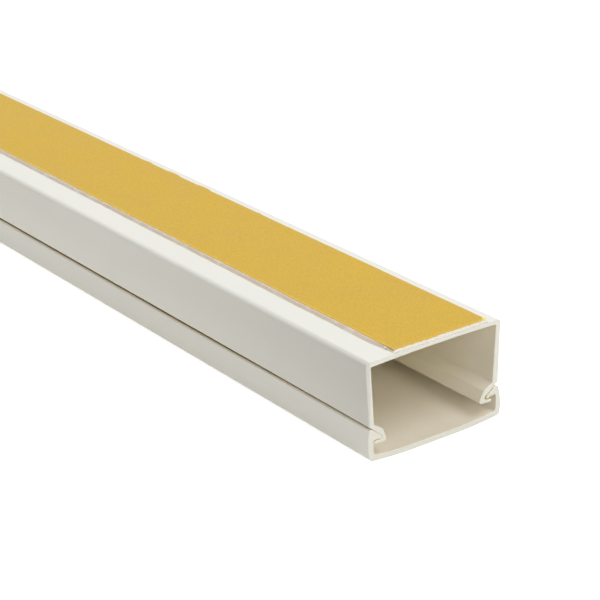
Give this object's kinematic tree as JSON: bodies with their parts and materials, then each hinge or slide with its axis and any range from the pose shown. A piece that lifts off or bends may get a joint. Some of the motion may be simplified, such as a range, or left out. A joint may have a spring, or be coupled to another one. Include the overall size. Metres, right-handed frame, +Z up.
{
  "type": "adhesive cord cover raceway",
  "caption": "Straight length of plastic cable raceway: a channel with a clip-in crowned cover and a liner-backed adhesive strip on its back.",
  "frame": {"origin": "on the floor, under the middle of the length and width, with the cover down and the adhesive back up", "axes": "+X along the stock's length, +Y across it towards the side the tape is nearer to, +Z up, out of the adhesive back"},
  "size_m": [0.4, 0.0404, 0.0266],
  "materials": {
    "channel_plastic": "smooth satin extruded PVC, ivory white",
    "cover_plastic": "smooth satin extruded PVC, ivory white",
    "tape_foam": "soft double-sided tape, pale pinkish grey",
    "liner_paper": "waxed yellow release paper, faint fibres"
  },
  "bodies": {
    "channel": {"base_channel": "channel_plastic", "adhesive_tape": "tape_foam", "release_liner": "liner_paper"},
    "cover": {"snap_cover": "cover_plastic"}
  },
  "joints": [
    {"name": "cover_slide", "type": "slide", "parent": "channel", "child": "cover", "axis": [1, 0, 0], "range_m": [-0.41, 0.41]}
  ]
}
